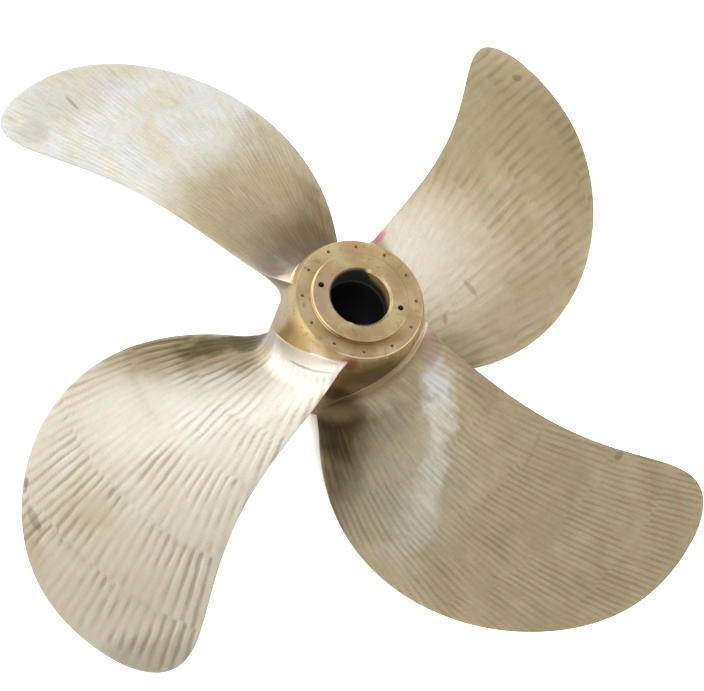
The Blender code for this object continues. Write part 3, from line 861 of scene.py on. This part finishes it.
def machinedBronze(name):
    # the same bronze, turned on a lathe: golden and satin, with fine rings from the tool and brown spots
    # of old oil; the bore is painted dull black as its shade, and highlights are painted on rims and lips
    material, add = newMaterial(name)
    place = add("object")
    flat = add("stretch", place, (1.0, 1.0, 0.0))
    out = add("length", flat)
    height = add("split", place, output=2)

    def cloudy(scale, detail, *levels, kind="eased"):
        return add(kind, add("noise", place, scale, detail), *levels)

    def towards(way, *levels):
        # the side of the hub that lies this way
        return add("eased", add("dot", flat, way + (0.0,)), *levels)

    def paint(colour, tone, amount, *shares):
        # colour laid where all the shares agree
        for share in shares:
            amount = add("times", amount, share)
        return add("mix", amount, colour, hexColour(tone))

    # heights and radii where one finish meets another
    top, rim, spigot = hubPlan["length"], hubPlan["aftFaceRadius"], hubPlan["spigotRadius"]
    seat = top - hubPlan["spigotHeight"]
    mouth = hubPlan["boreRadius"] + hubPlan["boreChamfer"]
    widest = 0.0705                 # just outside the bore's chamber
    # clouds of yellower and browner metal 40 mm across
    colour = add("mix", cloudy(24.0, 4.0, 0.35, 0.65), hexColour("#c6b388"), hexColour("#b49a71"))
    # the side is brighter and more golden than the aft face
    colour = paint(colour, "#d3b57e", add("eased", out, rim, rim + 0.006))
    # patches with borders that wander by 8 mm
    warp = add("noise", place, 60.0, 3.0, output=1)
    warp = add("unshift", add("stretchShift", warp, (0.03, 0.03, 0.03), place), (0.015, 0.015, 0.015))
    for tone, middle, sizes, amount in hubStainsAndPaintedLight:
        far = add("length", add("within", warp, middle, sizes))
        colour = paint(colour, tone, add("eased", far, 1.2, 0.4, 0.0, amount))
    # oil spots of 3 to 8 mm, mostly on the seat round the spigot
    colour = paint(colour, "#8a6c40", cloudy(120.0, 3.0, 0.63, 0.70, 0.0, 0.45))
    colour = paint(colour, "#94743f", cloudy(55.0, 2.0, 0.60, 0.72, 0.0, 0.50),
                   add("eased", out, spigot - 0.002, spigot + 0.004))
    # darker brown along the foot of the spigot on one side, and a painted highlight on its chamfer on the
    # other
    colour = paint(colour, "#8d6c3b", towards((2.0, -10.0), 0.45, 0.85, 0.0, 0.8),
                   add("eased", out, spigot + 0.024, spigot + 0.003),
                   add("eased", out, spigot - 0.0015, spigot))
    colour = paint(colour, "#f0d5a8", towards((-10.0, -4.0), 0.50, 0.85),
                   add("eased", out, spigot - 0.003, spigot - 0.0015),
                   add("eased", out, spigot + 0.0025, spigot + 0.0005, 0.0, 0.85))
    # a painted highlight along the rim of the aft face, on the same side as the darker brown
    colour = paint(colour, "#f6dfbd", towards((6.0, -8.0), 0.75, 0.95),
                   add("eased", out, rim - 0.0025, rim - 0.001), add("eased", out, rim + 0.001, rim),
                   add("eased", height, seat - 0.0035, seat - 0.002, 0.0, 0.8))
    # a painted highlight on the bore's lip on one side
    colour = paint(colour, "#fbe9cc", towards((9.4, 3.4), 0.42, 0.54),
                   add("eased", out, mouth + 0.0005, mouth - 0.0003),
                   add("eased", height, top - 0.0048, top - 0.0038, 0.0, 0.25))
    # the bore is dull and painted dark as its shade: black covers its lip on the other side and the wall
    # further in, and a dark brown near the mouth reaches deeper on this side
    blackLip = add("times", towards((-9.9, 0.9), -0.08, 0.10),
                  add("eased", out, mouth + 0.0003, mouth - 0.0003))
    inBore = add("times", add("eased", out, widest, widest - 0.001), add("eased", height, 0.0, 0.004))
    dull = add("times", inBore, add("most", add("eased", height, top - 0.0038, top - 0.006), blackLip))
    brownSide = towards((7.6, 6.5), 0.36, 0.52, 0.014, -0.005)
    ragged = add("plus", height, cloudy(60.0, 3.0, 0.3, 0.7, -0.003, 0.003, kind="ranged"))
    # the painted black lies thin over the lip, and a grey ring 48 mm down is a painted reflection
    thin = add("times", blackLip, add("eased", height, top, top - 0.0045, 0.30, 1.0))
    paintedBlackShare = add("most", thin, add("eased", add("minus", ragged, brownSide), top - 0.011, top - 0.031))
    # darker further down the bore, as painted shade
    deep = add("eased", height, top - 0.070, top - 0.040)
    black = add("mix", deep, hexColour("#060605"), hexColour("#141412"))
    paintedReflectionRing = add("eased", add("size", add("minus", height, top - 0.048)), 0.0040, 0.0010, 0.0, 0.8)
    black = add("mix", paintedReflectionRing, black, hexColour("#33332d"))
    colour = add("mix", dull, colour, add("mix", paintedBlackShare, hexColour("#5a4628"), black))
    # tool rings 0.5 mm apart, drawn near 2 mm so that they show
    feed = add("noise", add("join", add("plus", out, height)), 600.0, 2.0)
    rough = add("timesPlus", dull, 0.35, add("ranged", feed, 0.3, 0.7, 0.34, 0.44))
    return endMaterial(material, {
        "Base Color": colour, "Metallic": add("ranged", dull, 0.0, 1.0, 1.0, 0.1),
        "Specular IOR Level": add("ranged", dull, 0.0, 1.0, 0.5, 0.1), "Roughness": rough,
        "Normal": add("bump", feed, 0.20, 0.0003)})


def filmedBronze(name, dark, light):
    # the walls of the tapped holes: bronze under a dull film of dust or grease
    material, add = newMaterial(name)
    film = add("ranged", add("noise", add("object"), 400.0, 2.0), 0.35, 0.65)
    colour = add("mix", film, hexColour(dark), hexColour(light))
    return endMaterial(material, {"Base Color": colour, "Roughness": 0.75})


hubFinish = machinedBronze("turned bronze")
hub = newObject("turned_hub", turnedMesh("turned_hub", hubProfile(), hubPlan["sides"]))
pattern, threads = patternTree(), threadTree()
drills = []
for name, plan in holePlans.items():
    film = filmedBronze(name + " film", *plan["film"])
    around = {"Count": plan["count"], "Circle": plan["circle"], "First": math.radians(plan["first"]),
              "Finish": film}
    drill = newObject(name + " drill", drillMesh(name + " drill", plan))
    useTree(drill, pattern, dict(around, Height=plan["top"]))
    bakeModifiers(drill)
    drills.append(drill)
    # the ridge starts below the mouth and stops short of the hole's end
    lead = drillPlan["leadTurns"] * plan["threadPitch"]
    reach = plan["depth"] - drillPlan["spareTurns"] * plan["threadPitch"]
    thread = newObject(name + "_threads", bpy.data.meshes.new(name + "_threads"))
    useTree(thread, threads, {"Radius": plan["radius"] + plan["threadDepth"], "Height": reach,
                              "Turns": reach / plan["threadPitch"], "Ridge": plan["threadDepth"],
                              "Finish": film})
    useTree(thread, pattern, dict(around, Height=plan["top"] - lead))
    bakeModifiers(thread)
    thread.data.shade_smooth()
    thread.data.set_sharp_from_angle(angle=math.radians(drillPlan["sharpFrom"]))
    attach(thread, "root")
    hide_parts("hub")
    print(thread.name, "made,", len(thread.data.polygons), "faces")
hub.data.materials.append(hubFinish)
for drill in drills:
    boolean = hub.modifiers.new("drill", "BOOLEAN")
    boolean.operation = "DIFFERENCE"
    boolean.solver = "EXACT"
    boolean.material_mode = "TRANSFER"
    boolean.object = drill
bakeModifiers(hub)
for drill in drills:
    bpy.data.objects.remove(drill)
hub.data.shade_smooth()
hub.data.set_sharp_from_angle(angle=math.radians(hubPlan["sharpFrom"]))
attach(hub, "root")
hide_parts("hub")
print("hub made,", len(hub.data.polygons), "faces")


# Floor, light and camera
studio = {
    "floorWidth": 60.0,
    "floorColour": "#f4f2ee",
    "sunStrength": 12.0,
    "sunAngle": 150.0,
    "wall": 1.02,
    "ceiling": 0.70,                # as a share of the walls
    "below": 0.77,
    "darkest": 0.05,
    "airColour": "#fafbff",
}

floorMesh = bpy.data.meshes.new("floor")
half = studio["floorWidth"] / 2.0
corners = [(-half, -half, 0.0), (half, -half, 0.0), (half, half, 0.0), (-half, half, 0.0)]
floorMesh.from_pydata(corners, [], [(0, 1, 2, 3)])
floor = newObject("floor", floorMesh)
floorMaterial = newMaterial("matt white floor paint")[0]
endMaterial(floorMaterial, {"Base Color": hexColour(studio["floorColour"]), "Roughness": 0.9})
floorMesh.materials.append(floorMaterial)
floor.visible_glossy = False

sunLamp = bpy.data.lights.new("overhead light", "SUN")
sunLamp.energy = studio["sunStrength"]
sunLamp.angle = math.radians(studio["sunAngle"])
sun = newObject("overhead light", sunLamp)
sun.visible_glossy = False

# Soft surround: a pale ceiling, tall windows low down behind the propeller and a dim near side.
# Each glow is (azimuth, elevation, reach in degrees, strength), and a negative one is a dark wall.
glows = (
    (10.0, 18.0, 44.0, 0.50),
    (76.0, 27.0, 38.0, 0.45),
    (120.0, 12.0, 42.0, 0.72),
    (150.0, -6.0, 36.0, 0.90),
    (-138.0, 55.0, 26.0, 0.40),
    (-152.0, 4.0, 32.0, 1.10),
    (66.0, -10.0, 32.0, -0.50),
    (-140.0, -42.0, 45.0, 0.40),
    (-35.0, -52.0, 60.0, -0.70),
)


def surround():
    world = bpy.data.worlds.new("studio")
    world.use_nodes = True
    add = partial(addNode, world.node_tree)
    way = add("object", output="Generated")
    height = add("split", way, output=2)
    light = add("eased", height, -0.30, 0.35, studio["below"], studio["wall"])
    light = add("times", light, add("ranged", height, 0.45, 1.0, 1.0, studio["ceiling"]))
    for azimuth, elevation, reach, strength in glows:
        turn, rise = math.radians(azimuth), math.radians(elevation)
        aim = (math.cos(turn) * math.cos(rise), math.sin(turn) * math.cos(rise), math.sin(rise))
        edge = math.cos(math.radians(reach))
        light = add("plus", light, add("eased", add("dot", way, aim), edge, 1.0, 0.0, strength))
    setInputs(world.node_tree.nodes["Background"], {
        "Color": hexColour(studio["airColour"]), "Strength": add("most", light, studio["darkest"])})
    return world


bpy.context.scene.world = surround()
bpy.context.scene.view_settings.view_transform = "Standard"

cameraPlan = {
    "place": (-0.2657, -1.0727, 2.1410),
    "turn": (25.2825, -13.6343, 11.0821),
    "lens": 61.423,
    "sensor": 36.0,
}
lens = bpy.data.cameras.new("camera")
lens.sensor_fit = "HORIZONTAL"
lens.sensor_width = cameraPlan["sensor"]
lens.lens = cameraPlan["lens"]
camera = newObject("camera", lens)
camera.location = cameraPlan["place"]
camera.rotation_euler = tuple(math.radians(a) for a in cameraPlan["turn"])
bpy.context.scene.camera = camera
print("camera and light set")
